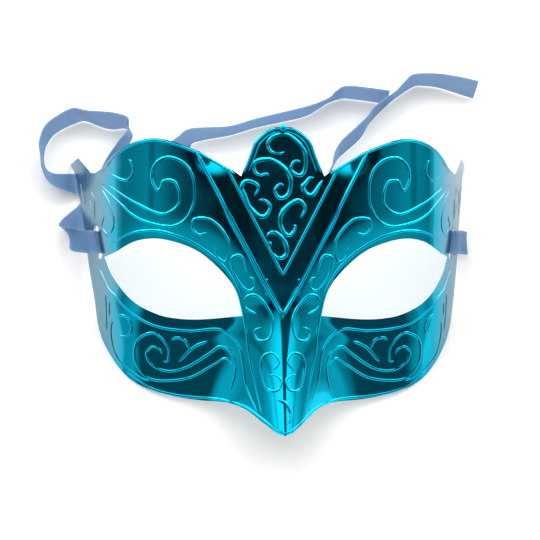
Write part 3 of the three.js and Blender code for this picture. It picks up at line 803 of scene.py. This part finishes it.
def room_along(axis, wobble):
    """How far the direction goes along an axis, made uneven by the clutter of the room."""
    dot = room.new("ShaderNodeVectorMath")
    dot.operation = "DOT_PRODUCT"
    dot.inputs[1].default_value = axis
    wires.new(way.outputs["Generated"], dot.inputs[0])
    uneven = room.new("ShaderNodeMath")
    uneven.operation = "MULTIPLY_ADD"
    uneven.inputs[1].default_value = wobble
    wires.new(clutter.outputs["Fac"], uneven.inputs[0])
    wires.new(dot.outputs["Value"], uneven.inputs[2])
    shifted = room.new("ShaderNodeMath")
    shifted.operation = "SUBTRACT"
    shifted.inputs[1].default_value = wobble / 2
    wires.new(uneven.outputs["Value"], shifted.inputs[0])
    return shifted.outputs["Value"]


def fade(value, start, end, low, high):
    """A smooth change from low to high between start and end."""
    change = room.new("ShaderNodeMapRange")
    change.interpolation_type = "SMOOTHSTEP"
    change.inputs["From Min"].default_value = start
    change.inputs["From Max"].default_value = end
    change.inputs["To Min"].default_value = low
    change.inputs["To Max"].default_value = high
    wires.new(value, change.inputs["Value"])
    return change.outputs["Result"]


def combine(operation, first, second):
    """The result of one operation on two values, each a number or the output of a node."""
    node = room.new("ShaderNodeMath")
    node.operation = operation
    for socket, value in zip(node.inputs, (first, second)):
        if isinstance(value, (int, float)):
            socket.default_value = value
        else:
            wires.new(value, socket)
    return node.outputs["Value"]


def between(value, rise, fall, low=0, high=1):
    """High between the rise and the fall, low before them and nothing after them."""
    return combine("MULTIPLY", fade(value, *rise, low, high), fade(value, *fall, 1, 0))


def distance_from(value, middle):
    """How far the value is from the middle, to either side."""
    return combine("ABSOLUTE", combine("SUBTRACT", value, middle), 0)


def darken(light, share):
    """The light, less the share of it that is taken away."""
    return combine("MULTIPLY", light, combine("SUBTRACT", 1, share))


# Directions: across the face, up the face and up from the table. A part of the front that faces
# straight out mirrors the room as far to one side as the camera stands to the other.
mirrored_middle = 0.113
across = room_along(Vector((1, 0, 0)), 0.3)
steady_across = room_along(Vector((1, 0, 0)), 0.0)
upward = room_along(Vector((0, math.cos(mask_lean), math.sin(mask_lean))), 0.14)
height = room_along(Vector((0, 0, 1)), 0.0)
off_centre = distance_from(across, 0.05)
off_mirrored = distance_from(steady_across, mirrored_middle)
off_nose = distance_from(steady_across, 0.17)

# The unlit parts of the room: overhead, in the mirrored middle, and low down before the cheeks.
dark_overhead = combine("MULTIPLY", fade(off_centre, 0.08, 0.72, 0.95, 0),
                        between(upward, (-0.13, 0.0), (0.1, 0.24)))
dark_middle = combine("MULTIPLY", between(off_mirrored, (0.07, 0.13), (0.19, 0.42), 0.9, 0.985),
                      between(upward, (-0.1, -0.02), (0.1, 0.22)))
dark_below = combine("MULTIPLY", fade(off_centre, 0.6, 0.82, 0.86, 0),
                     fade(upward, -0.34, -0.25, 1, 0))
lit = combine("SUBTRACT", 1, combine("MAXIMUM", dark_overhead, dark_middle))
lit = darken(lit, dark_below)

# An upright bar at each side, like a window frame, mirrored by the outer brow.
frame_bar = combine("MULTIPLY", between(off_mirrored, (0.63, 0.65), (0.71, 0.75), 0, 0.4),
                    fade(upward, -0.06, -0.02, 0, 1))
lit = darken(lit, frame_bar)

# A narrow unlit gap high up, mirrored as the dark stripe down the nose.
dark_gap = combine("MULTIPLY", fade(off_nose, 0.115, 0.135, 0.93, 0),
                   fade(upward, 0.12, 0.18, 0, 1))
lit = darken(lit, dark_gap)

# The room is brightest high up, and the pale table glows low down at both sides.
level = combine("MULTIPLY", fade(upward, -0.3, -0.1, 0.6, 0.37), fade(upward, 0.1, 0.35, 1, 4))
room_light = combine("MULTIPLY", lit, level)
low_glow = combine("MULTIPLY", fade(height, 0.0, 0.3, 0.7, 0), fade(off_centre, 0.5, 0.75, 0.1, 1))
room_light = combine("MAXIMUM", room_light, low_glow)

# The darker parts are bluer than the lit ones.
tint = room.new("ShaderNodeMix")
tint.data_type = "RGBA"
tint.inputs["A"].default_value = (0.5, 0.9, 1.05, 1)
tint.inputs["B"].default_value = (1, 1, 1, 1)
wires.new(fade(room_light, 0.0, 0.25, 0, 1), tint.inputs["Factor"])
glow = room.new("ShaderNodeBackground")
wires.new(tint.outputs["Result"], glow.inputs["Color"])
wires.new(room_light, glow.inputs["Strength"])
sky = room.new("ShaderNodeOutputWorld")
wires.new(glow.outputs["Background"], sky.inputs["Surface"])


lamp_distance = 1.4


def soft_box(name, direction, width, height, power):
    """A lit panel that faces the mask from the lamps' common distance."""
    data = bpy.data.lights.new(name, "AREA")
    data.shape = "RECTANGLE"
    data.size = width
    data.size_y = height
    data.energy = power
    lamp = bpy.data.objects.new(name, data)
    bpy.context.collection.objects.link(lamp)
    lamp.location = Vector(direction).normalized() * lamp_distance
    lamp.rotation_mode = "QUATERNION"
    lamp.rotation_quaternion = Vector(direction).to_track_quat("Z", "Y")


soft_box("soft_box_left", (-1.0, 1.0, 0.75), 0.6, 0.9, 5.5)
soft_box("soft_box_right", (1.0, 1.0, 0.75), 0.6, 0.9, 4.5)
soft_box("soft_box_top", (0.05, 1.0, 0.9), 1.0, 0.4, 5.5)
